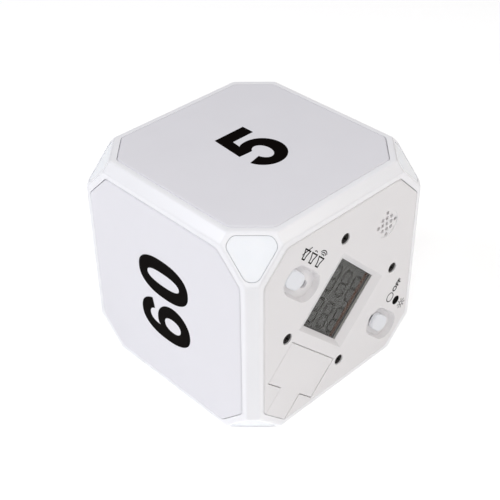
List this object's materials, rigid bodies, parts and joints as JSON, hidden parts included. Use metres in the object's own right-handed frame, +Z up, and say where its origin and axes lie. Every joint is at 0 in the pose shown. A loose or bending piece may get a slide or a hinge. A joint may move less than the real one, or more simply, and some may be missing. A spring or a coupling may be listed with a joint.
{
  "type": "cube timer",
  "caption": "Electronic countdown timer in a cube with cut edges and corners: printed faces, corner light windows, recessed display, slide switches, sounder grille and battery door.",
  "frame": {"origin": "middle of the bottom face, on the surface that the cube stands on", "axes": "+Z up, towards the plate printed 5; -Y out of the control face; -X out of the plate printed 60"},
  "size_m": [0.064, 0.064, 0.064],
  "materials": {
    "white_abs": "moulded, fine satin",
    "plate_abs": "moulded, fine satin, printed",
    "knob_abs": "moulded, satin",
    "lens_acrylic": "milky translucent",
    "window_acrylic": "clear, polished",
    "display_glass": "reflective grey-green display glass",
    "holder_abs": "moulded",
    "contact_rubber": "striped elastomer",
    "board_laminate": "glass laminate with green solder mask",
    "screw_steel": "blackened",
    "nickelled_steel": "nickel plated",
    "lever_nylon": "moulded",
    "sounder_brass": "rolled",
    "ceramic": "silvered ceramic",
    "cell_jacket": "printed sleeve",
    "black_epoxy": "potted",
    "led_resin": "clear resin over phosphor",
    "lead_pvc": "extruded sleeve"
  },
  "bodies": {
    "root": {"housing": "white_abs", "control_cover": "white_abs", "minute_plate_5": "plate_abs", "minute_plate_60": "plate_abs", "minute_plate_15": "plate_abs", "minute_plate_30": "plate_abs", "rear_plate": "plate_abs", "corner_lens_bottom_front_left": "lens_acrylic", "corner_lens_bottom_front_right": "lens_acrylic", "corner_lens_bottom_rear_left": "lens_acrylic", "corner_lens_bottom_rear_right": "lens_acrylic", "corner_lens_top_front_left": "lens_acrylic", "corner_lens_top_front_right": "lens_acrylic", "corner_lens_top_rear_left": "lens_acrylic", "corner_lens_top_rear_right": "lens_acrylic", "display_window": "window_acrylic", "display_cell": "display_glass", "display_holder": "holder_abs", "battery_holder": "holder_abs", "tilt_sensor_case": "holder_abs", "tilt_sensor_lid": "holder_abs", "upper_contact_strip": "contact_rubber", "lower_contact_strip": "contact_rubber", "main_board": "board_laminate", "cover_screws": "screw_steel", "board_screws": "screw_steel", "volume_switch_case": "nickelled_steel", "light_switch_case": "nickelled_steel", "spring_contact": "nickelled_steel", "cup_contact": "nickelled_steel", "crystal": "nickelled_steel", "sounder_disc": "sounder_brass", "sounder_ceramic": "ceramic", "left_cell": "cell_jacket", "right_cell": "cell_jacket", "control_chip": "black_epoxy", "led_upper_right": "led_resin", "led_upper_left": "led_resin", "led_lower_left": "led_resin", "led_lower_right": "led_resin", "battery_black_lead": "lead_pvc", "battery_red_lead": "lead_pvc", "sounder_black_lead": "lead_pvc", "sounder_red_lead": "lead_pvc"},
    "volume_slider": {"volume_knob": "knob_abs", "volume_switch_lever": "lever_nylon"},
    "light_slider": {"light_knob": "knob_abs", "light_switch_lever": "lever_nylon"},
    "door": {"battery_door": "white_abs", "bridge_contact": "nickelled_steel"},
    "sensor_ball": {"tilt_ball": "nickelled_steel"}
  },
  "joints": [
    {"name": "volume_slide", "type": "slide", "parent": "root", "child": "volume_slider", "axis": [0.7071, 0, -0.7071], "range_m": [0, 0.0054]},
    {"name": "light_slide", "type": "slide", "parent": "root", "child": "light_slider", "axis": [0.7071, 0, -0.7071], "range_m": [-0.0027, 0.0027]},
    {"name": "door_hinge", "type": "hinge", "parent": "root", "child": "door", "pos_m": [-0.01025, -0.032, 0.02175], "axis": [-0.7071, 0, 0.7071], "range_deg": [0, 100]},
    {"name": "ball_roll", "type": "slide", "parent": "root", "child": "sensor_ball", "axis": [0, 0, 1], "range_m": [0, 0.0029]}
  ]
}
